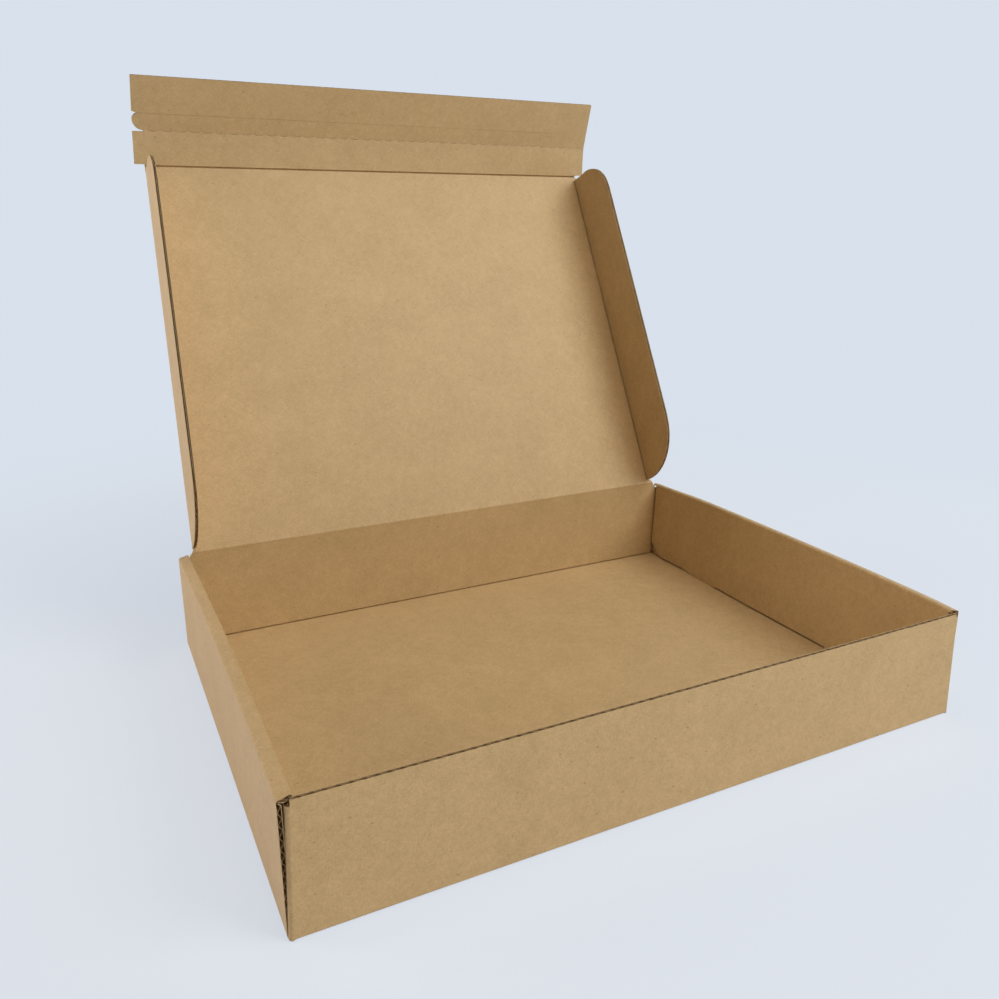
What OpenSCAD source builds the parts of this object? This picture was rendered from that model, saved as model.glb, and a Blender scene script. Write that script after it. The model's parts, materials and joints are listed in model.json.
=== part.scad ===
// Roll-end mailer box of corrugated board, standing open.
// The origin is the middle of the tray's underside, +X is to the right, +Y to the hinge and +Z up.

/* [Board] */
// Thickness of the corrugated board
board_t = 2.6; // [1.8:0.1:3.6]
// Gap between boards that are folded against each other
layer_gap = 0.1; // [0.05:0.05:0.3]
// Clearance between a hinged board and the bead that it turns on
hinge_gap = 0.3; // [0.2:0.05:0.6]

/* [Tray] */
// Outside width of the tray at its base
tray_w = 450; // [320:1:560]
// Outside depth of the tray at its base, front to hinge
tray_d = 336; // [260:1:440]
// Height of a rolled side up to its outer crease, along the side
side_h = 72.2; // [60:0.1:110]
// How far the outer crease of a rolled side stands outside its base
side_lean = 2.3; // [0:0.1:4]
// Width of the slanted band between the two creases on top of a rolled side
band_w = 7; // [6:0.1:7.6]
// Rise of that band from its outer to its inner crease
band_rise = 1.7; // [0:0.1:3]
// How far the front wall's cut edge lies below the outer creases of the rolled sides
front_drop = 1; // [0.3:0.1:4]
// How far the front and rear walls end inside the outer faces of the side panels
end_inset = 1.7; // [0.5:0.1:2.4]
// Outer radius of the upright folds at the four corners
corner_r = 3; // [2:0.1:5]
// How far the side panels' cut ends lie behind the faces of the front and rear walls
end_set = 0.3; // [0:0.1:1]

/* [Side rolls] */
// Gap between the end of an inner side panel and the wall that it points to
panel_gap = 7; // [3:0.5:15]
// Length of the chamfer on an inner side panel's lower corners
chamfer_l = 14; // [4:0.5:30]
// Height of that chamfer
chamfer_h = 11; // [4:0.5:30]
// Length of each lock tab under an inner side panel
tab_l = 40; // [20:1:60]
// Distance from the middle of the side to the middle of each lock tab
tab_offset = 85; // [50:1:95]
// How far each lock tab ends above the underside
tab_set = 0.3; // [0.1:0.1:1]
// Clearance around a lock tab in its floor slot
slot_gap = 0.3; // [0.2:0.1:1]
// Length of the corner flaps between the side panels
corner_flap_l = 85; // [50:1:100]

/* [Lid] */
// Angle by which the lid stands open
lid_angle = 116.6; // [95:0.1:180]
// Height of the closed lid's inner face above the rolled sides
lid_gap = 0.4; // [0.2:0.1:2]
// Distance of the closure flap's crease in front of the front wall, lid closed
crease_lead = 2; // [1.8:0.1:4]

/* [Side flaps] */
// Width of a side flap from its crease to its free edge
flap_w = 55.5; // [30:0.5:57]
// Fold of the side flaps out of the lid's plane
flap_fold = 90; // [0:1:90]
// Corner radius of a side flap at the hinge end
flap_rear_r = 53; // [5:0.5:55]
// Corner radius of a side flap at the closure end
flap_front_r = 35; // [5:0.5:55]
// Distance from the lid's hinge line to the side flaps
flap_rear_set = 4; // [3.5:0.5:10]
// Distance from the closure flap's crease to the side flaps
flap_front_set = 7; // [6.5:0.5:12]

/* [Closure flap] */
// Fold of the closure flap out of the lid's plane
closure_fold = 30; // [0:1:80]
// Further bend of the closure flap along its wavy perforation
tear_bend = 15.6; // [0:0.1:20]
// Width of the strip between the crease and the wavy perforation
inner_strip = 29; // [15:0.1:40]
// Width of the tear strip
tear_strip = 15.6; // [12:0.1:20]
// Width of the outer strip
outer_strip = 30.8; // [15:0.1:40]
// Pitch of the wavy perforation
wave_pitch = 11.25; // [8:0.05:20]
// Uncut bridge between two cuts of the perforation
wave_bridge = 2.2; // [1:0.1:4]
// Height of each curved cut of the perforation
wave_rise = 1.3; // [0.5:0.1:2]
// Width of the cuts
cut_w = 0.5; // [0.3:0.1:1]
// Uncut length of the straight slit at the right end
slit_bridge = 22; // [5:1:60]
// Radius of the thumb tab's outer corner
thumb_outer_r = 5.6; // [3:0.1:6]
// Radius of the thumb tab's inner corner
thumb_inner_r = 8.8; // [5:0.1:9]
// Gap between the thumb tab and the inner strip
thumb_inner_gap = 1.2; // [0.6:0.1:2]
// Height of the narrow notch above the thumb tab
thumb_outer_gap = 1.3; // [0.6:0.1:2]
// Depth of the narrow notch above the thumb tab
notch_l = 4.2; // [3:0.1:6]

/* [Hidden] */
$fn = 64;
kraft = "#b89868";
kraft_inside = "#c0a878";

// How far a cutter runs past what it cuts
overlap = 1;

// The boards of a rolled side, counted from its outer face
layer_step = board_t + layer_gap;
stack_w = 3 * board_t + 2 * layer_gap;
lean_angle = atan(side_lean / side_h);
crest_h = side_h + band_rise;
front_h = side_h - front_drop;

// The band's inner crease, rounded off by a flat of this height, is the tray's highest line
crest_drop = 1;
crest_z = crest_h * cos(lean_angle) + band_w * sin(lean_angle);

// The lid's hinge line and the boards that turn on it
bead_r = board_t / 2;
board_set = bead_r + hinge_gap;
hinge_y = tray_d / 2 - bead_r;
hinge_z = crest_z + lid_gap + bead_r;
crease_s = hinge_y + tray_d / 2 + crease_lead;
flap_axis_x = tray_w / 2 - stack_w - hinge_gap - bead_r;
hinge_half = tray_w / 2 - stack_w - hinge_gap;

// The closure flap's cuts, measured from the perforation
closure_w = tray_w;
wave_count = floor(closure_w / wave_pitch);
wave_step = closure_w / wave_count;
wave_chord = wave_step - wave_bridge;
wave_r = (wave_chord * wave_chord / 4 + wave_rise * wave_rise) / (2 * wave_rise);
wave_set = 0.6;
thumb_centre = tear_strip - thumb_outer_r;

// A cut's depth, which passes right through the board
cut_t = 2 * board_t;

// Places its children on both sides, the right one as drawn and the left one mirrored
module both_sides() {
    children();
    mirror([1, 0, 0]) children();
}

// Frame of the right side: X runs inwards through the layers, Z up along the leaning panels
module side_frame() {
    translate([tray_w / 2, 0, 0])
        mirror([1, 0, 0])
            rotate([0, -lean_angle, 0])
                children();
}

// Frame of the lid: Y runs along the lid from its hinge line, Z out of its inner face
module lid_frame() {
    translate([0, hinge_y, hinge_z])
        rotate([180 - lid_angle, 0, 0])
            children();
}

// Square with its two far corners rounded, from x0 to x1 and from y0 to y1
module rounded_end(x0, x1, y0, y1, r_low, r_high) {
    difference() {
        translate([x0, y0]) square([x1 - x0, y1 - y0]);
        difference() {
            translate([x1 - r_low, y0 - overlap]) square([r_low + overlap, r_low + overlap]);
            translate([x1 - r_low, y0 + r_low]) circle(r_low);
        }
        difference() {
            translate([x1 - r_high, y1 - r_high]) square([r_high + overlap, r_high + overlap]);
            translate([x1 - r_high, y1 - r_high]) circle(r_high);
        }
    }
}

// Floor with the slots for the lock tabs
module tray_floor() {
    slot_w = board_t + 2 * slot_gap;
    slot_l = tab_l + 2 * slot_gap;
    difference() {
        translate([-tray_w / 2, -tray_d / 2, 0]) cube([tray_w, tray_d, board_t]);
        both_sides()
            for (end = [-1, 1])
                translate([tray_w / 2 - stack_w - slot_gap, end * tab_offset - slot_l / 2, -overlap])
                    cube([slot_w, slot_l, board_t + 2 * overlap]);
    }
}

// Plan of the front wall, its upright outer edges rounded as folds
module wall_plan() {
    half_w = tray_w / 2 - end_inset;
    intersection() {
        translate([-half_w, -tray_d / 2]) square([2 * half_w, board_t]);
        union() {
            translate([-half_w + corner_r, -tray_d / 2]) square([2 * (half_w - corner_r), board_t]);
            for (side = [-1, 1])
                translate([side * (half_w - corner_r), -tray_d / 2 + corner_r]) circle(corner_r);
        }
    }
}

module front_wall() {
    linear_extrude(front_h) wall_plan();
}

// Rear wall with the half-round bead of the lid's hinge line
module rear_wall() {
    mirror([0, 1, 0]) linear_extrude(front_h) wall_plan();
    translate([-hinge_half, tray_d / 2 - board_t, 0]) cube([2 * hinge_half, board_t, hinge_z]);
    translate([-hinge_half, hinge_y, hinge_z]) rotate([0, 90, 0]) cylinder(r = bead_r, h = 2 * hinge_half);
}

// Outer side panel and the band that is folded over from its top
module outer_panel_and_band() {
    end_y = tray_d / 2 - end_set;
    band_drop = board_t + crest_drop;
    translate([0, end_y, 0])
        rotate([90, 0, 0])
            linear_extrude(2 * end_y)
                polygon([
                    [0, 0],
                    [0, side_h],
                    [band_w, crest_h],
                    [stack_w, crest_h - crest_drop],
                    [stack_w, crest_h - band_drop],
                    [stack_w - board_t, crest_h - band_drop],
                    [board_t, side_h - board_t],
                    [board_t, 0]
                ]);
}

// Inner side panel, its lower corners chamfered, with two lock tabs
module inner_panel() {
    half_l = tray_d / 2 - board_t - panel_gap;
    low = board_t + layer_gap;
    high = crest_h - board_t;
    translate([stack_w - board_t, 0, 0])
        rotate([90, 0, 90])
            linear_extrude(board_t)
                polygon([
                    [-half_l, low + chamfer_h],
                    [-half_l, high],
                    [half_l, high],
                    [half_l, low + chamfer_h],
                    [half_l - chamfer_l, low],
                    [tab_offset + tab_l / 2, low],
                    [tab_offset + tab_l / 2, tab_set],
                    [tab_offset - tab_l / 2, tab_set],
                    [tab_offset - tab_l / 2, low],
                    [-tab_offset + tab_l / 2, low],
                    [-tab_offset + tab_l / 2, tab_set],
                    [-tab_offset - tab_l / 2, tab_set],
                    [-tab_offset - tab_l / 2, low],
                    [-half_l + chamfer_l, low]
                ]);
}

// Corner flap between the side panels, folded off the front or rear wall
module corner_flap(end) {
    low = board_t + layer_gap;
    high = side_h - board_t - layer_gap;
    root_y = tray_d / 2 - board_t / 2;
    tip_y = tray_d / 2 - corner_flap_l;
    translate([layer_step, min(end * root_y, end * tip_y), low])
        cube([board_t, root_y - tip_y, high - low]);
}

module tray() {
    color(kraft) {
        tray_floor();
        front_wall();
        rear_wall();
        both_sides()
            side_frame() {
                outer_panel_and_band();
                inner_panel();
                corner_flap(-1);
                corner_flap(1);
            }
    }
}

// Lid panel with the half-round beads that its three flaps turn on
module lid() {
    side_bead_l = crease_s - flap_front_set - flap_rear_set;
    color(kraft_inside)
        lid_frame() {
            translate([-flap_axis_x, board_set, -bead_r])
                cube([2 * flap_axis_x, crease_s - board_set, board_t]);
            translate([-flap_axis_x - bead_r, crease_s, 0])
                rotate([0, 90, 0])
                    cylinder(r = bead_r, h = 2 * (flap_axis_x + bead_r));
            both_sides()
                translate([flap_axis_x, flap_rear_set, 0])
                    rotate([-90, 0, 0])
                        cylinder(r = bead_r, h = side_bead_l);
        }
}

// Side flap on the right of the lid
module side_flap() {
    front_end = crease_s - flap_front_set;
    lid_frame()
        translate([flap_axis_x, 0, 0])
            rotate([0, -flap_fold, 0])
                translate([0, 0, -bead_r])
                    linear_extrude(board_t)
                        rounded_end(board_set, flap_w, flap_rear_set, front_end, flap_rear_r, flap_front_r);
}

module lid_flap_right() {
    color(kraft_inside) side_flap();
}

module lid_flap_left() {
    color(kraft_inside) mirror([1, 0, 0]) side_flap();
}

// Curved cuts of the wavy perforation, their ends turned to the tear strip
module wave_cuts() {
    for (i = [0:wave_count - 1])
        translate([-closure_w / 2 + (i + 0.5) * wave_step, wave_set + wave_r])
            intersection() {
                difference() {
                    circle(wave_r);
                    circle(wave_r - cut_w);
                }
                translate([-wave_chord / 2, -wave_r]) square([wave_chord, wave_rise + cut_w]);
            }
}

// Rounded end of the tear strip, to be taken hold of
module thumb_tab() {
    edge = -closure_w / 2;
    intersection() {
        translate([edge, thumb_centre]) square([thumb_inner_r, thumb_outer_r]);
        union() {
            translate([edge + thumb_outer_r, thumb_centre]) circle(thumb_outer_r);
            translate([edge + thumb_outer_r, thumb_centre]) square([thumb_inner_r, thumb_outer_r]);
        }
    }
    intersection() {
        translate([edge, thumb_centre - thumb_inner_r]) square([thumb_inner_r, thumb_inner_r]);
        translate([edge + thumb_inner_r, thumb_centre]) circle(thumb_inner_r);
    }
}

// What is cut away around the thumb tab at the flap's left edge
module thumb_relief() {
    edge = -closure_w / 2;
    low = thumb_centre - thumb_inner_r - thumb_inner_gap;
    difference() {
        translate([edge - overlap, low]) square([thumb_inner_r + overlap, tear_strip - low]);
        thumb_tab();
    }
    polygon([
        [edge - overlap, tear_strip],
        [edge + notch_l, tear_strip],
        [edge - overlap, tear_strip + thumb_outer_gap]
    ]);
}

// Slit between the tear strip and the outer strip
module straight_slit() {
    translate([-closure_w / 2, tear_strip])
        square([closure_w - slit_bridge, cut_w]);
}

// Closure flap, bent along its perforation, with the tear strip's cuts
module closure_flap() {
    outer_l = tear_strip + outer_strip;
    wedge = bead_r * tan(tear_bend / 2);
    color(kraft_inside)
        lid_frame()
            translate([0, crease_s, 0])
                rotate([closure_fold, 0, 0]) {
                    translate([closure_w / 2, 0, 0])
                        rotate([90, 0, -90])
                            linear_extrude(closure_w)
                                polygon([
                                    [-board_set, -bead_r],
                                    [-inner_strip - wedge, -bead_r],
                                    [-inner_strip + wedge, bead_r],
                                    [-board_set, bead_r]
                                ]);
                    translate([0, inner_strip, 0])
                        rotate([tear_bend, 0, 0])
                            difference() {
                                translate([closure_w / 2, 0, 0])
                                    rotate([90, 0, -90])
                                        linear_extrude(closure_w)
                                            polygon([
                                                [-wedge, -bead_r],
                                                [-outer_l, -bead_r],
                                                [-outer_l, bead_r],
                                                [wedge, bead_r]
                                            ]);
                                translate([0, 0, -cut_t / 2])
                                    linear_extrude(cut_t) {
                                        wave_cuts();
                                        thumb_relief();
                                        straight_slit();
                                    }
                            }
                }
}

tray();
lid();
lid_flap_left();
lid_flap_right();
closure_flap();
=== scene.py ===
"""Corrugated mailer box, standing open: its boards have their two liners and their flutes, except the
floor, the lid's panel and the creases, which are solid.

Lengths are in metres. The tray's underside is at Z 0, +X is to the right and +Y to the hinge.
"""

import json
import math

import bpy
import numpy as np
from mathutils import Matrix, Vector


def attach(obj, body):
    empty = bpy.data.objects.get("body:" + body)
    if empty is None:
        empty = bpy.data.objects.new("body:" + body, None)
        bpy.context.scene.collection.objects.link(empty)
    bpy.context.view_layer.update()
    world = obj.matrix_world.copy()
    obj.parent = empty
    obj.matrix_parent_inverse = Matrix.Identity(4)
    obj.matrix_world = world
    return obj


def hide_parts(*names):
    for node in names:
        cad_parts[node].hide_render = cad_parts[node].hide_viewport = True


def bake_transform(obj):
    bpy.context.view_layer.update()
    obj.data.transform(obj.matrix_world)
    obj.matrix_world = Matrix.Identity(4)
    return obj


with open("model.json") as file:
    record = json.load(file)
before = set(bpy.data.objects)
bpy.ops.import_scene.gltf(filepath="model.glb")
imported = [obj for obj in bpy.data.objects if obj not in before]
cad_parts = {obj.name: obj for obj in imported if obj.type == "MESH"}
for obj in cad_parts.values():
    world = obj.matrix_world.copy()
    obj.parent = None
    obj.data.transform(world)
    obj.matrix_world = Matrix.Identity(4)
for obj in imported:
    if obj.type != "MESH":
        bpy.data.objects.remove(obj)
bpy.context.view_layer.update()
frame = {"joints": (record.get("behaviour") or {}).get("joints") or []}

# The board, as in the part's source, with its two liners and its fluted medium
BOARD = 0.0026
LINER = 0.00032
MEDIUM = 0.0003
FLUTE = 0.0063
COLUMN = FLUTE / 12

# The tray and its rolled sides, which lean in and carry a slanted band on top
HALF_W = 0.225
HALF_D = 0.168
SIDE_H = 0.0722
SIDE_LEAN = 0.0023
LEAN = math.atan(SIDE_LEAN / SIDE_H)
BAND_W = 0.007
BAND_RISE = 0.0017
LAYER_GAP = 0.0001
STACK_W = 3 * BOARD + 2 * LAYER_GAP
FLOOR_MARGIN = 0.012
FOLD_R = 0.0006
CREST_R = 0.0004

# A roll ends this far from the tray's front and rear, and its strip of floor a little further in
FRONT_SET = 0.0027
REAR_SET = 0.0003
STRIP_SET = 0.003

# The inner panels: their gaps to the walls, their cut lower corners and their lock tabs
PANEL_GAP = 0.002
CHAMFER_L = 0.014
CHAMFER_H = 0.011
FOOT_GAP = 0.001
TAB_L = 0.040
TAB_OFFSET = 0.085
TAB_SET = 0.0003
SLOT_GAP = 0.0003

# The front wall, higher at its left end and rounded off at its corners, and the rear wall
FRONT_TILT = 0.0006
FRONT_INSET = 0.0004
FRONT_ROUND_X = 0.2215
FRONT_ROUND_W = 0.003
FRONT_ROUND_H = 0.0008
REAR_H = SIDE_H - 0.001
REAR_INSET = 0.0017
REAR_STEP_W = 0.001
WALL_CRUSH = 0.35
WALL_CRUSH_REACH = 0.0013
WALL_ROW = 0.012

# The corner flaps: taller at their fold, then lower and moved in behind the side's outer panel
CORNER_R = 0.0022
CORNER_FOOT = 0.0004
CORNER_TOP = 0.0696
CORNER_FLAP_L = 0.085
CORNER_STEP_SET = 0.003
CORNER_STEP_W = 0.004
CORNER_SHIFT_SET = 0.002
CORNER_SHIFT_W = 0.016

# A corner flap's paper starts this much below its wall's
CORNER_CHART_SET = 0.001

# The lid's hinge and the axes of its flaps, from the frame
JOINTS = {j["name"]: j for j in frame["joints"]}
HINGE = np.array(JOINTS["lid_hinge"]["pos_m"])
CLOSURE_CREASE = np.array(JOINTS["closure_hinge"]["pos_m"])
FLAP_AXIS_X = JOINTS["right_flap_hinge"]["pos_m"][0]
LID_L = float(np.linalg.norm(CLOSURE_CREASE - HINGE))
LID_DIR = (CLOSURE_CREASE - HINGE) / LID_L
LID_IN = np.array([0.0, -LID_DIR[2], LID_DIR[1]])

# The lid's crease: half its length, what it runs on at the right, and the slant of its ends
HINGE_HALF = 0.2186
HINGE_MORE = 0.0025
HINGE_SLANT = 0.003
HINGE_REACH = 0.0012

# The side flaps: their outline, and how far they start from the lid's two long creases
FLAP_W = 0.0555
FLAP_REAR_R = 0.053
FLAP_FRONT_R = 0.035
FLAP_REAR_SET = 0.0031
FLAP_FRONT_SET = 0.007
FLAP_ROOT_SET = 0.0049
FLAP_ROOT_W = 0.02
FLAP_ROOT_GAP = 0.0001
FLAP_COLUMNS = 190
FLAP_COLUMN_POWER = 0.75

# The creases between moving boards: half their width, their bend and the crown on the lid's one
CREASE = 0.0028
CREASE_R = 0.001
CREASE_REACH = 0.001
CREASE_COLUMNS = 33
CREASE_ROWS = 60
FLAP_CREASE_R = 0.0008
BEAD = 0.0005
BEAD_W = 0.0007

# The closure flap, its strips and its cuts
CLOSURE_FOLD = math.radians(30)
CLOSURE_END_SET = 0.0016
TEAR_BEND = math.radians(15.6)
TEAR_BEND_R = 0.002
INNER_STRIP = 0.029
TEAR_STRIP = 0.0156
OUTER_STRIP = 0.0308
WAVE_COUNT = 40
WAVE_STEP = 2 * HALF_W / WAVE_COUNT
WAVE_COLUMN = WAVE_STEP / 22
WAVE_BRIDGE = 0.0022
WAVE_RISE = 0.0013
WAVE_SET = 0.0006
CUT_W = 0.00028
SLIT_W = 0.00016
SLIT_BRIDGE = 0.022
THUMB_OUTER_R = 0.0056
THUMB_INNER_R = 0.0088
THUMB_OUTER_GAP = 0.0013
THUMB_COLUMNS = 40
NOTCH_L = 0.0042

# How far the front wall and the left side bow and the front wall's left end leans in, at their tops
FRONT_BOW = 0.0005
FRONT_BOW_W = 0.02
FRONT_SHEAR = 0.001
SIDE_BOW = 0.0016

# The floor stays flat up to this place from the middle, and gives with the sides over this width
GIVE_X = 0.12
GIVE_W = 0.09

# Above this share of the wall's height nothing leans further
GIVE_TOP = 1.1

# How far the right side leans out: at its top, at its foot towards the rear, and where it is most
SPLAY_TOP = 0.009
SPLAY_FOOT = 0.003
SPLAY_FOOT_Y = 0.02
SPLAY_FOOT_W = 0.12
SPLAY_MIDDLE = 0.05
SPLAY_REACH = 0.22

# The rear wall holds that side back by this share, from this place on and over this length
HOLD = 0.5
HOLD_Y = 0.10
HOLD_W = 0.068

# A fold crushes the board to this share of its thickness, a crease between moving boards to less
CRUSH = 0.5
CRUSH_REACH = 0.0016
DEEP_CRUSH = 0.15

# A liner sinks this much between its flutes
WASHBOARD = 0.00002

# Meshing: points on a rounded corner, the least step between places, and a rounding error
ARC_POINTS = 7
NUDGE = 1e-5
TINY = 1e-6

# Meshing: rows along the flutes of each board
FLOOR_ROWS = 8
ROLL_ROWS = 20
ROLL_FOOT_ROWS = 6
CORNER_ROWS = 6
LID_ROWS = 12
FLAP_ROWS = 8
CLOSURE_ROWS = 3

# The papers' relief
BUMP_DEPTH = 0.0001
BUMP_STRENGTH = 0.6


def smooth(t):
    """0 up to 0, 1 from 1 on, and an even step between them."""
    t = np.clip(t, 0, 1)
    return t * t * (3 - 2 * t)


class Path:
    """A line in a plane with rounded corners, followed by its length from the start."""

    def __init__(self, points, radii, reach=CRUSH_REACH, crush=CRUSH):
        self.reach = reach
        self.crush = crush
        points = [np.array(p, float) for p in points]
        steps = [b - a for a, b in zip(points, points[1:])]
        headings = [math.atan2(d[1], d[0]) for d in steps]
        turns = [math.remainder(b - a, math.tau) for a, b in zip(headings, headings[1:])]
        cuts = [0.0] + [r * math.tan(abs(t) / 2) for r, t in zip(radii, turns)] + [0.0]
        self.parts = []
        self.corners = []
        place, length = points[0], 0.0
        for i, step in enumerate(steps):
            straight = float(np.linalg.norm(step)) - cuts[i] - cuts[i + 1]
            self.parts.append((length, place, headings[i], 0.0))
            place = place + straight * step / np.linalg.norm(step)
            length += straight
            if i < len(turns):
                arc = radii[i] * abs(turns[i])
                rate = turns[i] / arc
                self.parts.append((length, place, headings[i], rate))
                self.corners.append((length, length + arc))
                end = headings[i] + turns[i]
                across = (math.sin(end) - math.sin(headings[i])) / rate
                along = (math.cos(headings[i]) - math.cos(end)) / rate
                place = place + np.array([across, along])
                length += arc
        self.length = length
        self.sides = [-np.sign(t) for t in turns]

    def stations(self, step):
        """Places along the line, a step apart on its straights and close together in its corners."""
        marks = [0.0]
        for start, end in self.corners:
            run = [start - self.reach, start - self.reach / 2, *np.linspace(start, end, ARC_POINTS)]
            run += [end + self.reach / 2, end + self.reach]
            for mark in run:
                if mark > marks[-1] + NUDGE:
                    marks += list(columns(marks[-1], mark, step)[1:])
        marks += list(columns(marks[-1], self.length, step)[1:])
        return np.array(marks)

    def crushed(self, s, n):
        """The depth n in the board at s, pressed towards the outer face where the board is folded."""
        for (start, end), side in zip(self.corners, self.sides):
            away = np.maximum(start - s, s - end)
            press = (1 - self.crush) * smooth(1 - away / self.reach)
            n = n + (side * BOARD / 2 - n) * press
        return n

    def board(self, s, n):
        """Points of a board that follows the line: s along it and n out of its left face."""
        n = self.crushed(s, n)
        x, y, nx, ny = self.at(s)
        return x + n * nx, y + n * ny

    def at(self, s):
        """Points of the line at s, and the unit normals to its left."""
        s = np.asarray(s, float)
        first = self.parts[0]
        x, y, h = self._part(s, *first)
        for part in self.parts[1:]:
            later = s >= part[0]
            px, py, ph = self._part(s, *part)
            x, y, h = np.where(later, px, x), np.where(later, py, y), np.where(later, ph, h)
        return x, y, -np.sin(h), np.cos(h)

    @staticmethod
    def _part(s, start, place, heading, rate):
        d = s - start
        if rate == 0:
            return (
                place[0] + d * math.cos(heading),
                place[1] + d * math.sin(heading),
                np.full_like(d, heading),
            )
        h = heading + rate * d
        x = place[0] + (np.sin(h) - math.sin(heading)) / rate
        y = place[1] + (math.cos(heading) - np.cos(h)) / rate
        return x, y, h


def slab(place, u, low, high, rows, n_low, n_high, chart):
    """A closed sheet between two depths of a board: its corners, faces and board coordinates."""
    spans = np.broadcast_arrays(*(np.asarray(a, float) for a in (u, low, high, n_low, n_high)))
    u, low, high, n_low, n_high = spans
    v = low[:, None] + (high - low)[:, None] * rows
    uu = np.broadcast_to(u[:, None], v.shape)
    sides = [place(uu, v, np.broadcast_to(n[:, None], v.shape)) for n in (n_low, n_high)]
    points = np.concatenate([s.reshape(-1, 3) for s in sides])
    c, r = v.shape
    grid = np.arange(c * r).reshape(c, r)
    top = grid + c * r
    quads = [
        np.stack([grid[:-1, :-1], grid[:-1, 1:], grid[1:, 1:], grid[1:, :-1]], -1).reshape(-1, 4),
        np.stack([top[:-1, :-1], top[1:, :-1], top[1:, 1:], top[:-1, 1:]], -1).reshape(-1, 4),
        np.stack([grid[:-1, 0], grid[1:, 0], top[1:, 0], top[:-1, 0]], -1),
        np.stack([grid[1:, -1], grid[:-1, -1], top[:-1, -1], top[1:, -1]], -1),
        np.stack([grid[0, 1:], grid[0, :-1], top[0, :-1], top[0, 1:]], -1),
        np.stack([grid[-1, :-1], grid[-1, 1:], top[-1, 1:], top[-1, :-1]], -1),
    ]
    quads = np.concatenate(quads)
    a, b, d = (points[quads[:, i]] for i in (0, 1, 3))
    if np.einsum("ij,ij->i", a, np.cross(b - a, d - a)).sum() < 0:
        quads = quads[:, ::-1]
    flat = np.stack(np.broadcast_arrays(*chart(uu, v)), -1).reshape(-1, 2)
    return points, quads, np.tile(flat, (2, 1))


def make(name, slabs, materials, body, sharp=32):
    """One object from several slabs, each with its material's number, riding on a body."""
    points = np.concatenate([s[0] for s, _ in slabs])
    starts = np.cumsum([0] + [len(s[0]) for s, _ in slabs])
    quads = np.concatenate([s[1] + start for (s, _), start in zip(slabs, starts)])
    coordinates = np.concatenate([s[2] for s, _ in slabs])
    numbers = np.concatenate([np.full(len(s[1]), m) for s, m in slabs])
    mesh = bpy.data.meshes.new(name)
    mesh.from_pydata(points.tolist(), [], quads.tolist())
    layer = mesh.uv_layers.new(name="board")
    loops = np.empty(len(mesh.loops), int)
    mesh.loops.foreach_get("vertex_index", loops)
    layer.data.foreach_set("uv", coordinates[loops].ravel())
    mesh.polygons.foreach_set("material_index", numbers.astype(np.int32))
    mesh.polygons.foreach_set("use_smooth", np.ones(len(quads), bool))
    mesh.set_sharp_from_angle(angle=math.radians(sharp))
    for material in materials:
        mesh.materials.append(material)
    piece = bpy.data.objects.new(name, mesh)
    bpy.context.scene.collection.objects.link(piece)
    if body:
        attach(piece, body)
    return piece


def even(rows):
    """Shares of a board's length at which it is divided into even rows."""
    return np.linspace(0, 1, rows + 1)


def same(u, v):
    return u, v


def faces(u, chart):
    """Depths of the board's two faces, which sink a little between the flutes."""
    flutes = np.sin(math.tau * chart(u, 0)[0] / FLUTE)
    half = BOARD / 2
    return flutes, WASHBOARD * (1 + flutes) / 2 - half, half - WASHBOARD * (1 - flutes) / 2


def boards(place, u, low, high, rows=even(2), chart=same):
    """The two liners and the fluted medium of a board, the flutes running along v."""
    flutes, back, face = faces(u, chart)
    wave = (BOARD / 2 - LINER - MEDIUM / 2) * flutes
    depths = [(back, LINER - BOARD / 2, 0), (BOARD / 2 - LINER, face, 0)]
    depths += [(wave - MEDIUM / 2, wave + MEDIUM / 2, 1)]
    return [(slab(place, u, low, high, rows, a, b, chart), m) for a, b, m in depths]


def solid(place, u, low, high, rows, chart=same):
    """A board whose edges are all covered by its neighbours, without its medium."""
    back, face = faces(u, chart)[1:]
    return [(slab(place, u, low, high, rows, back, face, chart), 0)]


def columns(start, end, step=COLUMN):
    """Evenly spaced places from start to end."""
    return np.linspace(start, end, max(2, int(round((end - start) / step)) + 1))


def tray_warp(x, y, z):
    """The give of the tray's walls: the front and left ones bow, and the right one leans out."""
    height = np.clip(z / SIDE_H, 0, GIVE_TOP)
    at_front = smooth(1 - (y + HALF_D) / FRONT_BOW_W)
    front_bow = FRONT_BOW * np.cos(x / HALF_W * math.pi / 2) * at_front
    lean_in = SIDE_BOW * np.cos(y / HALF_D * math.pi / 2) * height
    along = np.sqrt(np.clip(1 - ((y - SPLAY_MIDDLE) / SPLAY_REACH) ** 2, 0, 1))
    held = 1 - HOLD * smooth((y - HOLD_Y) / HOLD_W)
    at_foot = SPLAY_FOOT * smooth((y - SPLAY_FOOT_Y) / SPLAY_FOOT_W) * (1 - height)
    lean_out = SPLAY_TOP * along * height + at_foot
    x = x + lean_in * smooth((-x - GIVE_X) / GIVE_W) + lean_out * held * smooth((x - GIVE_X) / GIVE_W)
    return np.stack([x, y - front_bow * height, z], -1)


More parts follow.
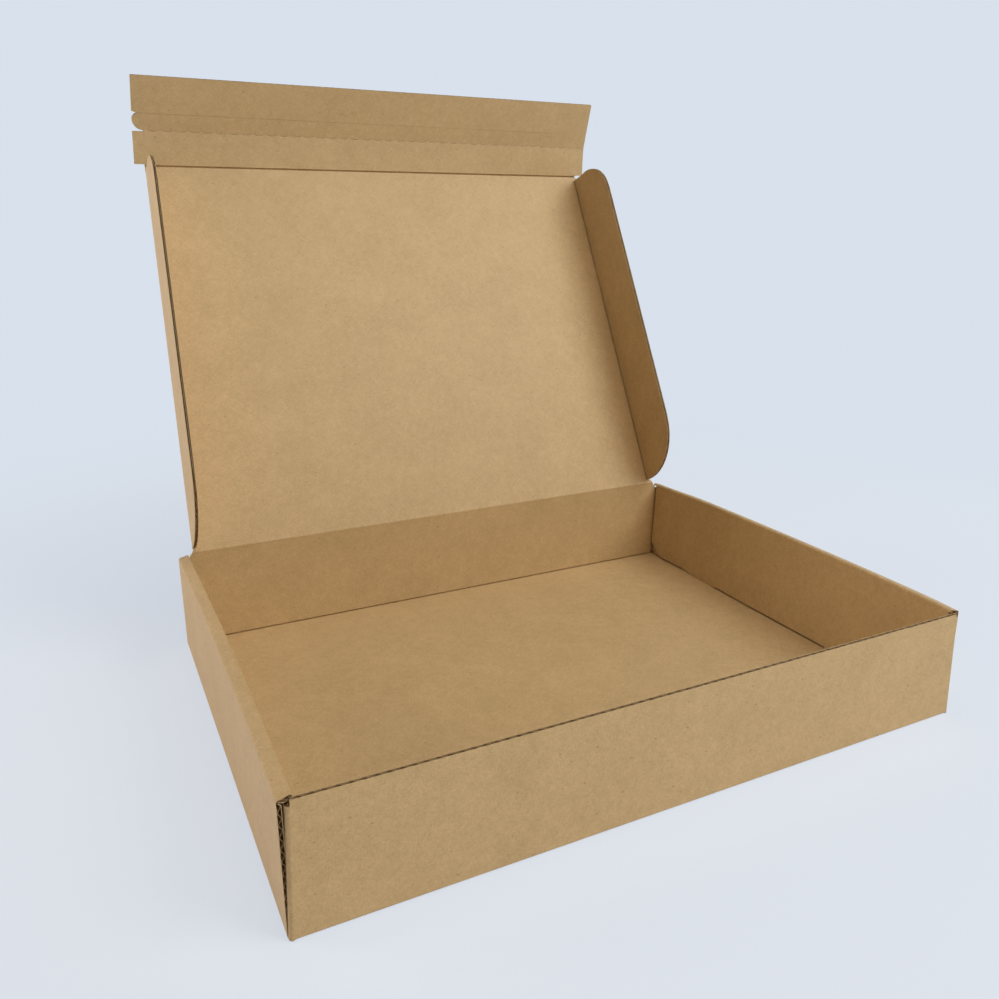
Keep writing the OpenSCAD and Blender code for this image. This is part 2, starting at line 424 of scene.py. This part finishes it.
class Nodes:
    """Short ways to add and link the nodes of one material."""

    def __init__(self, material):
        material.use_nodes = True
        self.tree = material.node_tree
        self.nodes = self.tree.nodes
        self.shader = self.nodes["Principled BSDF"]
        self.where = self.nodes.new("ShaderNodeTexCoord")

    def link(self, value, socket):
        if isinstance(value, (int, float)):
            socket.default_value = value
        elif isinstance(value, tuple):
            socket.default_value = (*value, 1)
        else:
            self.tree.links.new(value, socket)

    def math(self, operation, a, b=0.0):
        node = self.nodes.new("ShaderNodeMath")
        node.operation = operation
        self.link(a, node.inputs[0])
        self.link(b, node.inputs[1])
        return node.outputs[0]

    def spread(self, value, low, high, to_low=0.0, to_high=1.0):
        node = self.nodes.new("ShaderNodeMapRange")
        for socket, amount in zip(node.inputs[1:5], (low, high, to_low, to_high)):
            socket.default_value = amount
        self.link(value, node.inputs[0])
        return node.outputs[0]

    def mix(self, amount, a, b):
        node = self.nodes.new("ShaderNodeMix")
        node.data_type = "RGBA"
        self.link(amount, node.inputs[0])
        self.link(a, node.inputs[6])
        self.link(b, node.inputs[7])
        return node.outputs[2]

    def placed(self, source, stretch=(1, 1, 1), turn=0.0):
        node = self.nodes.new("ShaderNodeMapping")
        node.inputs["Scale"].default_value = stretch
        node.inputs["Rotation"].default_value = (0, 0, turn)
        self.link(self.where.outputs[source], node.inputs["Vector"])
        return node.outputs[0]

    def noise(self, vector, scale, detail=3, rough=0.6):
        node = self.nodes.new("ShaderNodeTexNoise")
        node.inputs["Scale"].default_value = scale
        node.inputs["Detail"].default_value = detail
        node.inputs["Roughness"].default_value = rough
        self.link(vector, node.inputs["Vector"])
        return node.outputs["Fac"]

    def flecks(self, vector, scale, size, share):
        """1 in scattered small spots, of which a share is left out, and 0 elsewhere."""
        node = self.nodes.new("ShaderNodeTexVoronoi")
        node.voronoi_dimensions = "2D"
        node.inputs["Scale"].default_value = scale
        self.link(vector, node.inputs["Vector"])
        channels = self.nodes.new("ShaderNodeSeparateColor")
        self.link(node.outputs["Color"], channels.inputs[0])
        radius = self.math("MULTIPLY", channels.outputs[1], size)
        inside = self.math("LESS_THAN", node.outputs["Distance"], radius)
        return self.math("MULTIPLY", inside, self.math("GREATER_THAN", channels.outputs[0], share))


def paper(name, light, dark, dark_fleck, light_fleck):
    """Kraft paper: crossed fibres, mottling, a slow change of tone, and dark and light flecks."""
    material = bpy.data.materials.new(name)
    n = Nodes(material)
    n.shader.inputs["Roughness"].default_value = 0.55
    n.shader.inputs["Specular IOR Level"].default_value = 0.5
    solid_place = n.placed("Object")
    fibre_a = n.noise(n.placed("UV", stretch=(1, 4.5, 1), turn=0.45), scale=330)
    fibre_b = n.noise(n.placed("UV", stretch=(4, 1, 1), turn=-0.5), scale=360)
    grain = n.noise(n.placed("UV"), scale=1300, detail=2)
    mottle = n.noise(solid_place, scale=160, detail=4, rough=0.7)
    tone = n.noise(solid_place, scale=28)
    shade = n.math("MULTIPLY", fibre_a, 0.42)
    for layer, weight in ((fibre_b, 0.42), (grain, 0.26), (mottle, 0.34), (tone, 0.22)):
        shade = n.math("ADD", shade, n.math("MULTIPLY", layer, weight))
    base = n.mix(n.spread(shade, low=0.66, high=1.02), dark, light)
    spots = n.flecks(n.placed("UV", stretch=(1, 1.7, 1), turn=0.8), scale=60, size=0.06, share=0.55)
    base = n.mix(n.math("MULTIPLY", spots, 0.45), base, dark_fleck)
    streaks = n.flecks(n.placed("UV", stretch=(1, 3, 1), turn=-0.9), scale=95, size=0.06, share=0.4)
    base = n.mix(n.math("MULTIPLY", streaks, 0.4), base, light_fleck)
    n.link(base, n.shader.inputs["Base Color"])

    relief = n.math("ADD", n.math("MULTIPLY", fibre_a, 0.5), n.math("MULTIPLY", fibre_b, 0.5))
    relief = n.math("ADD", relief, n.math("MULTIPLY", grain, 0.35))
    bump = n.nodes.new("ShaderNodeBump")
    bump.inputs["Strength"].default_value = BUMP_STRENGTH
    bump.inputs["Distance"].default_value = BUMP_DEPTH
    n.link(relief, bump.inputs["Height"])
    n.link(bump.outputs["Normal"], n.shader.inputs["Normal"])
    return material


liner = paper(
    "kraft_liner",
    light=(0.70, 0.51, 0.28),
    dark=(0.49, 0.345, 0.172),
    dark_fleck=(0.26, 0.16, 0.07),
    light_fleck=(0.80, 0.66, 0.44),
)
medium = paper(
    "kraft_medium",
    light=(0.36, 0.25, 0.14),
    dark=(0.25, 0.17, 0.09),
    dark_fleck=(0.16, 0.10, 0.05),
    light_fleck=(0.5, 0.4, 0.26),
)
PAPERS = [liner, medium]


def end_board(name, end, top):
    """Front (-1) or rear (1) wall with its fold into the floor and the corner flaps at its ends."""
    inset = FRONT_INSET if end < 0 else REAR_INSET
    shear = FRONT_SHEAR if end < 0 else 0.0
    wall_x = HALF_W - inset - BOARD / 2
    wall_y = HALF_D - BOARD / 2
    tip_y = HALF_D - CORNER_FLAP_L
    corner_r = CORNER_R - BOARD / 2
    corners = [(-wall_x, -tip_y), (-wall_x, -wall_y), (wall_x, -wall_y), (wall_x, -tip_y)]
    plan = Path(corners, [corner_r] * 2)
    fold = [(-FLOOR_MARGIN, BOARD / 2), (0, BOARD / 2), (0, SIDE_H)]
    rise = Path(fold, [FOLD_R], WALL_CRUSH_REACH, WALL_CRUSH)
    centre = plan.length / 2
    floor_end = rise.length - SIDE_H

    def sheared(x, z):
        return x - np.minimum(x, 0) / HALF_W * shear * z / SIDE_H

    def wall(u, v, n):
        out, z = rise.board(v, n)
        x, y = plan.board(u, -out)
        return tray_warp(sheared(x, z), -end * y, z)

    def flap(u, v, n):
        x, y = plan.board(u, n)
        behind = smooth((y + wall_y - CORNER_SHIFT_SET) / CORNER_SHIFT_W)
        x = x - np.sign(x) * (BOARD + LAYER_GAP - inset - v * math.sin(LEAN)) * behind
        return tray_warp(sheared(x, v), -end * y, v)

    def chart(u, v):
        return u - centre, end * (wall_y - FLOOR_MARGIN + v)

    def flap_chart(u, v):
        return u - centre, end * (wall_y - CORNER_CHART_SET + v)

    first, last = plan.corners[0][1], plan.corners[1][0]
    u = columns(first, last)
    rows = rise.stations(WALL_ROW) / rise.length
    slabs = boards(wall, u, 0, floor_end + top(u - centre), rows, chart)
    marks = plan.stations(COLUMN)
    for u in (marks[marks <= first + TINY], marks[marks >= last - TINY]):
        back = plan.at(u)[1] + wall_y
        folded = smooth(1 - (back - CORNER_STEP_SET) / CORNER_STEP_W)
        low = (BOARD + LAYER_GAP) * (1 - folded) + CORNER_FOOT * folded
        high = (SIDE_H - BOARD - LAYER_GAP) * (1 - folded) + CORNER_TOP * folded
        slabs += boards(flap, u, low, high, even(CORNER_ROWS), flap_chart)
    return make(name, slabs, PAPERS, "tray")


def side_roll(name, side):
    """Rolled side: the floor's edge, outer panel, slanted band and inner panel with its lock tabs."""

    def lean(across, up):
        c, s = math.cos(LEAN), math.sin(LEAN)
        return across * c - up * s, across * s + up * c

    mid = BOARD / 2
    band_slope = BAND_RISE / BAND_W
    band_mid = SIDE_H - mid / math.cos(math.atan(band_slope))
    outer_top = lean(mid, band_mid + mid * band_slope)
    inner_top = lean(STACK_W - mid, band_mid + (STACK_W - mid) * band_slope)
    inner_low = lean(STACK_W - mid, BOARD + FOOT_GAP)
    section = Path(
        [(FLOOR_MARGIN, mid), (mid, mid), outer_top, inner_top, inner_low],
        [FOLD_R, CREST_R, CREST_R],
    )

    def place(u, v, n):
        x, z = section.board(u, n)
        return tray_warp(side * (HALF_W - x), v, z)

    def chart(u, v):
        return side * (HALF_W - FLOOR_MARGIN + u), v

    marks = section.stations(COLUMN)
    edge, crest = section.corners[0][0], section.corners[2][1]
    slot_far = FLOOR_MARGIN - STACK_W - SLOT_GAP
    slot_near = slot_far + BOARD + 2 * SLOT_GAP
    slot_half = TAB_L / 2 + SLOT_GAP
    floor_end = HALF_D - BOARD / 2 - FLOOR_MARGIN
    front_end, rear_end = FRONT_SET - HALF_D, HALF_D - REAR_SET

    def part(start, end, low, high, rows):
        u = np.unique(np.concatenate([[start, end], marks[(marks > start) & (marks < end)]]))
        return boards(place, u, low, high, even(rows), chart)

    slabs = part(0, slot_far, -floor_end, floor_end, ROLL_FOOT_ROWS)
    slabs += part(slot_far, slot_near, -floor_end, -TAB_OFFSET - slot_half, rows=2)
    slabs += part(slot_far, slot_near, slot_half - TAB_OFFSET, TAB_OFFSET - slot_half, rows=4)
    slabs += part(slot_far, slot_near, TAB_OFFSET + slot_half, floor_end, rows=2)
    slabs += part(slot_near, edge, front_end + STRIP_SET, rear_end - STRIP_SET, ROLL_FOOT_ROWS)
    slabs += part(edge, crest, front_end, rear_end, ROLL_ROWS)
    u = marks[marks >= crest - TINY]
    chamfer = CHAMFER_L * np.clip(1 - (section.length - u) / CHAMFER_H, 0, 1)
    inner_end = HALF_D - BOARD - PANEL_GAP - chamfer
    slabs += boards(place, u, -inner_end, inner_end, even(ROLL_ROWS), chart)
    tab_u = columns(section.length, section.length + BOARD + FOOT_GAP - TAB_SET)
    for middle in (-TAB_OFFSET, TAB_OFFSET):
        slabs += boards(place, tab_u, middle - TAB_L / 2, middle + TAB_L / 2, even(2), chart)
    return make(name, slabs, PAPERS, "tray")


def floor_board():
    """Floor between the folds of the four walls."""
    end = HALF_D - BOARD / 2 - FLOOR_MARGIN

    def place(u, v, n):
        return tray_warp(u, v, n + BOARD / 2)

    u = columns(FLOOR_MARGIN - HALF_W, HALF_W - FLOOR_MARGIN)
    return make("floor_board", solid(place, u, -end, end, even(FLOOR_ROWS)), PAPERS, "tray")


def front_top(x):
    """Height of the front wall, a little more at the left, with its corners rounded off."""
    corner = smooth((np.abs(x) - FRONT_ROUND_X) / FRONT_ROUND_W)
    return SIDE_H - FRONT_TILT * x / HALF_W - FRONT_ROUND_H * corner


def rear_top(x):
    """Height of the rear wall: up to the hinge, and under the sides' bands at its corners."""
    corner = smooth((np.abs(x) - HINGE_HALF) / REAR_STEP_W)
    beside = REAR_H + (CORNER_TOP - REAR_H) * corner
    return np.where(np.abs(x) < HINGE_HALF, HINGE[2] - CREASE, beside)


floor = floor_board()
front = end_board("front_wall_board", -1, front_top)
rear = end_board("rear_wall_board", 1, rear_top)
rolls = [side_roll("side_roll_right", 1), side_roll("side_roll_left", -1)]
for piece in (floor, front, rear, *rolls):
    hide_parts("tray")


def lid_point(x, s, n):
    """A point of the lid's frame: x across, s along the lid from its hinge, n out of its inner face."""
    x, s, n = np.broadcast_arrays(x, s, n)
    return HINGE + np.stack([x, x * 0, x * 0], -1) + s[..., None] * LID_DIR + n[..., None] * LID_IN


def lid_panel():
    """Lid between its four creases."""
    half = FLAP_AXIS_X - CREASE
    low, high = CREASE, LID_L - CREASE
    slabs = solid(lid_point, columns(-half, half), low, high, even(LID_ROWS))
    for side in (-1, 1):
        u = np.sort(columns(half, FLAP_AXIS_X + BOARD / 2) * side)
        for start, end in ((low, FLAP_REAR_SET), (LID_L - FLAP_ROOT_SET + FLAP_ROOT_GAP, high)):
            slabs += boards(lid_point, u, start, end, even(1))
    return make("lid_panel", slabs, PAPERS, "lid")


def side_flap(name, side):
    """Side flap of the lid, square to it, with its two rounded corners."""
    body = "lid_flap_right" if side > 0 else "lid_flap_left"
    front_end = LID_L - FLAP_FRONT_SET
    inset = FLAP_W - CREASE
    u = FLAP_W - inset * np.linspace(1, 0, FLAP_COLUMNS) ** FLAP_COLUMN_POWER
    rear_in = np.clip(u - (FLAP_W - FLAP_REAR_R), 0, FLAP_REAR_R)
    front_in = np.clip(u - (FLAP_W - FLAP_FRONT_R), 0, FLAP_FRONT_R)
    low = FLAP_REAR_SET + FLAP_REAR_R - np.sqrt(FLAP_REAR_R**2 - rear_in**2)
    high = front_end - FLAP_FRONT_R + np.sqrt(FLAP_FRONT_R**2 - front_in**2)
    root = np.clip(1 - (u - CREASE) / FLAP_ROOT_W, 0, 1)
    high = high + (FLAP_FRONT_SET - FLAP_ROOT_SET) * root**2

    def place(u, v, n):
        return lid_point(side * (FLAP_AXIS_X - n), v, u)

    def chart(u, v):
        return side * (FLAP_AXIS_X + u), v

    return make(name, boards(place, u, low, high, even(FLAP_ROWS), chart), PAPERS, body)


def crease(
    name,
    along,
    middle,
    parent_dir,
    child_dir,
    ends,
    radius,
    reach,
    chart,
    bead=0.0,
    slant=0.0,
):
    """Board bent over a crease, from CREASE on the parent's side to CREASE on the child's."""
    vectors = (along, middle, parent_dir, child_dir)
    along, middle, parent_dir, child_dir = (np.array(a, float) for a in vectors)
    across = np.cross(along, parent_dir)
    bend = (child_dir @ parent_dir, child_dir @ across)
    points = [(CREASE, 0), (0, 0), (CREASE * bend[0], CREASE * bend[1])]
    line = Path(points, [radius], reach, DEEP_CRUSH)
    side = line.sides[0]

    def place(u, v, n):
        swell = bead * np.exp(-(((u - line.length / 2) / BEAD_W) ** 2))
        p, q = line.board(u, n + side * swell * (n * side > 0))
        return middle + v[..., None] * along + p[..., None] * parent_dir + q[..., None] * across

    u = np.linspace(0, line.length, CREASE_COLUMNS)
    low = ends[0] + slant * u / line.length
    high = ends[1] - slant * u / line.length
    bent = slab(place, u, low, high, even(CREASE_ROWS), -BOARD / 2, BOARD / 2, chart)
    piece = make(name, [(bent, 0)], PAPERS, None, sharp=50)
    start, end = middle + CREASE * parent_dir, middle + CREASE * child_dir
    tuple(start)
    tuple(end)
    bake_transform(piece)


def closure_board():
    """Closure flap: inner strip, tear strip with its thumb tab, and outer strip."""
    turned = CLOSURE_FOLD + TEAR_BEND
    rest = TEAR_STRIP + OUTER_STRIP
    bend = (INNER_STRIP * math.cos(CLOSURE_FOLD), INNER_STRIP * math.sin(CLOSURE_FOLD))
    tip = (bend[0] + rest * math.cos(turned), bend[1] + rest * math.sin(turned))
    line = Path([(0, 0), bend, tip], [TEAR_BEND_R])

    def place(u, v, n):
        s, out, ns, nout = line.at(v)
        return lid_point(u, LID_L + s + n * ns, out + n * nout)

    chord = WAVE_STEP - WAVE_BRIDGE
    middles = (np.arange(WAVE_COUNT) + 0.5) * WAVE_STEP
    cut_ends = [middles + side * (chord / 2 + nudge) for side in (-1, 1) for nudge in (-NUDGE, NUDGE)]
    near_tab = np.linspace(0, THUMB_INNER_R, THUMB_COLUMNS)
    edge = np.concatenate([columns(0, 2 * HALF_W, WAVE_COLUMN), near_tab, *cut_ends])
    edge = np.unique(np.round(edge, decimals=7))
    u = edge - HALF_W
    tear = INNER_STRIP
    slit = tear + TEAR_STRIP
    top = slit + OUTER_STRIP
    start = np.where(np.abs(u) < FLAP_AXIS_X + BOARD / 2, CREASE, CLOSURE_END_SET)

    # The wavy perforation: curved cuts with uncut bridges between them
    from_middle = np.abs((edge % WAVE_STEP) - WAVE_STEP / 2)
    wave_r = (chord**2 / 4 + WAVE_RISE**2) / (2 * WAVE_RISE)
    reach = np.minimum(from_middle, chord / 2)
    wave = tear + WAVE_SET + wave_r - np.sqrt(wave_r**2 - reach**2)
    gap = np.where(from_middle < chord / 2, CUT_W, 0)

    # The thumb tab and the notches beside it
    centre = slit - THUMB_OUTER_R
    in_low = np.maximum(THUMB_INNER_R - edge, 0)
    in_high = np.maximum(THUMB_OUTER_R - edge, 0)
    tab_low = centre - np.sqrt(np.maximum(THUMB_INNER_R**2 - in_low**2, 0))
    tab_high = centre + np.sqrt(np.maximum(THUMB_OUTER_R**2 - in_high**2, 0))
    at_tab = edge < THUMB_INNER_R
    inner_high = np.where(at_tab, tear, wave)
    tear_low = np.where(at_tab, tab_low, wave + gap)
    tear_high = np.where(edge < THUMB_OUTER_R, tab_high, slit)
    notch = THUMB_OUTER_GAP * np.clip(1 - edge / NOTCH_L, 0, 1)
    slit_gap = np.where(edge < 2 * HALF_W - SLIT_BRIDGE, SLIT_W, 0)
    outer_low = slit + np.maximum(notch, slit_gap)

    def chart(u, v):
        return u, LID_L + v

    slabs = boards(place, u, start, inner_high, even(CLOSURE_ROWS), chart)
    slabs += boards(place, u, tear_low, tear_high, even(CLOSURE_ROWS), chart)
    slabs += boards(place, u, outer_low, np.full_like(u, top), even(CLOSURE_ROWS), chart)
    return make("closure_flap_board", slabs, PAPERS, "closure_flap")


lid = lid_panel()
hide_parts("lid")
flap_right = side_flap("right_flap_board", 1)
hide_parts("lid_flap_right")
flap_left = side_flap("left_flap_board", -1)
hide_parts("lid_flap_left")
closure = closure_board()
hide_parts("closure_flap")

X_AXIS = (1, 0, 0)
half = FLAP_AXIS_X + BOARD / 2
closure_dir = math.cos(CLOSURE_FOLD) * LID_DIR + math.sin(CLOSURE_FOLD) * LID_IN
crease(
    "lid_crease",
    X_AXIS,
    HINGE,
    (0, 0, -1),
    LID_DIR,
    (-HINGE_HALF, HINGE_HALF + HINGE_MORE),
    radius=CREASE_R,
    reach=HINGE_REACH,
    chart=lambda u, v: (v, u - CREASE),
    bead=BEAD,
    slant=HINGE_SLANT,
)
crease(
    "closure_crease",
    X_AXIS,
    CLOSURE_CREASE,
    -LID_DIR,
    closure_dir,
    (-half, half),
    radius=CREASE_R,
    reach=CREASE_REACH,
    chart=lambda u, v: (v, LID_L - CREASE + u),
)
for side, word in ((1, "right"), (-1, "left")):
    crease(
        f"{word}_flap_crease",
        LID_DIR,
        HINGE + np.array([side * FLAP_AXIS_X, 0, 0]),
        (-side, 0, 0),
        LID_IN,
        (FLAP_REAR_SET, LID_L - FLAP_ROOT_SET),
        radius=FLAP_CREASE_R,
        reach=CREASE_REACH,
        chart=lambda u, v: (side * (FLAP_AXIS_X - CREASE + u), v),
    )


# The light: the backdrop's and the table's tones, and how far the table's reaches from the box
BACKDROP = (0.690, 0.755, 0.838)
TABLE = (0.920, 1.020, 1.220)
TABLE_FROM = 0.25
TABLE_TO = 1.1
ROOM_FILL = (0.01, 0.01, 0.01)

# The floor: its own colour, and the share of its tone that doesn't depend on the lamps
FLOOR_SIZE = 60
FLOOR_COLOUR = (0.88, 0.91, 0.95)
FLOOR_GLOW = 0.68

# The lamps: soft disks, all turned to the middle of the box
LAMP_SIZE = 1.4
LAMP_AIM = (0, 0.05, 0.12)
KEY_COLOUR = (1.0, 0.98, 0.91)
FILL_COLOUR = (1.0, 0.83, 0.62)
TOP_COLOUR = (1.0, 0.87, 0.71)

# The camera, as fitted to the photograph
CAMERA_PLACE = (-0.2974, -0.5313, 0.3261)
CAMERA_DOWN = 10.91
CAMERA_RIGHT = 26.17
CAMERA_ROLL = 0.09
SENSOR = 36
LENS = 32.2
SHIFT = (0.0058, -0.1020)


def background_rays(tree):
    """1 for the rays that see the background itself, in the picture or in a reflection."""
    path = tree.nodes.new("ShaderNodeLightPath")
    seen = path.outputs["Is Camera Ray"]
    for ray in ("Is Glossy Ray", "Is Transmission Ray"):
        add = tree.nodes.new("ShaderNodeMath")
        add.use_clamp = True
        tree.links.new(seen, add.inputs[0])
        tree.links.new(path.outputs[ray], add.inputs[1])
        seen = add.outputs[0]
    return seen


def stage_floor():
    """Pale floor that keeps the box's shadow, of the backdrop's colour where the lamps don't reach."""
    bpy.ops.mesh.primitive_plane_add(size=FLOOR_SIZE, location=(0, 0, 0))
    plane = bpy.context.object
    plane.name = "pale_floor"
    material = bpy.data.materials.new("pale_floor")
    material.use_nodes = True
    tree = material.node_tree
    nodes, links = tree.nodes, tree.links
    shader = nodes["Principled BSDF"]
    shader.inputs["Base Color"].default_value = (*FLOOR_COLOUR, 1)
    shader.inputs["Roughness"].default_value = 0.7
    shader.inputs["Specular IOR Level"].default_value = 0.1
    glow = nodes.new("ShaderNodeEmission")
    where = nodes.new("ShaderNodeTexCoord")
    far = nodes.new("ShaderNodeVectorMath")
    far.operation = "LENGTH"
    links.new(where.outputs["Object"], far.inputs[0])
    fade = nodes.new("ShaderNodeMapRange")
    fade.interpolation_type = "SMOOTHSTEP"
    for socket, amount in zip(fade.inputs[1:5], (TABLE_FROM, TABLE_TO, FLOOR_GLOW, 1.0)):
        socket.default_value = amount
    links.new(far.outputs["Value"], fade.inputs["Value"])
    tone = nodes.new("ShaderNodeMix")
    tone.data_type = "RGBA"
    tone.inputs[6].default_value = (*TABLE, 1)
    tone.inputs[7].default_value = (*BACKDROP, 1)
    links.new(fade.outputs["Result"], tone.inputs[0])
    links.new(tone.outputs[2], glow.inputs["Color"])
    amount = nodes.new("ShaderNodeMath")
    amount.operation = "MULTIPLY"
    links.new(fade.outputs["Result"], amount.inputs[0])
    links.new(background_rays(tree), amount.inputs[1])
    mix = nodes.new("ShaderNodeMixShader")
    links.new(amount.outputs[0], mix.inputs[0])
    links.new(shader.outputs[0], mix.inputs[1])
    links.new(glow.outputs[0], mix.inputs[2])
    links.new(mix.outputs[0], nodes["Material Output"].inputs["Surface"])
    plane.data.materials.append(material)


def soft_lamp(name, place, power, colour):
    """A disk of light that the camera doesn't see."""
    light = bpy.data.lights.new(name, "AREA")
    light.shape = "DISK"
    light.size = LAMP_SIZE
    light.energy = power
    light.color = colour
    lamp = bpy.data.objects.new(name, light)
    lamp.location = place
    lamp.visible_camera = False
    lamp.rotation_euler = (Vector(LAMP_AIM) - Vector(place)).to_track_quat("-Z", "Y").to_euler()
    bpy.context.scene.collection.objects.link(lamp)


def world_light():
    """The pale backdrop that the camera and reflections see, and the weak fill that lights the box."""
    world = bpy.data.worlds.new("soft_room")
    bpy.context.scene.world = world
    world.use_nodes = True
    nodes, links = world.node_tree.nodes, world.node_tree.links
    background = nodes["Background"]
    mix = nodes.new("ShaderNodeMix")
    mix.data_type = "RGBA"
    links.new(background_rays(world.node_tree), mix.inputs[0])
    mix.inputs[6].default_value = (*ROOM_FILL, 1)
    mix.inputs[7].default_value = (*BACKDROP, 1)
    links.new(mix.outputs[2], background.inputs["Color"])
    background.inputs["Strength"].default_value = 1


def photo_camera():
    """The camera at the photograph's place: 10.9 degrees down and 26.2 degrees to the right."""
    data = bpy.data.cameras.new("camera")
    data.sensor_width = SENSOR
    data.lens = LENS
    data.shift_x, data.shift_y = SHIFT
    camera = bpy.data.objects.new("camera", data)
    camera.location = CAMERA_PLACE
    turns = (90 - CAMERA_DOWN, CAMERA_ROLL, -CAMERA_RIGHT)
    camera.rotation_euler = [math.radians(turn) for turn in turns]
    bpy.context.scene.collection.objects.link(camera)
    bpy.context.scene.camera = camera


stage_floor()
world_light()
soft_lamp("key_light", (1.08, -1.08, 1.54), 23.5, KEY_COLOUR)
soft_lamp("front_fill", (0, -2.1, 0.63), 8.5, FILL_COLOUR)
soft_lamp("left_fill", (-1.87, 1.04, 0.52), 24.0, FILL_COLOUR)
soft_lamp("top_light", (0, 0, 2.2), 10.5, TOP_COLOUR)
photo_camera()
bpy.context.scene.view_settings.view_transform = "Standard"
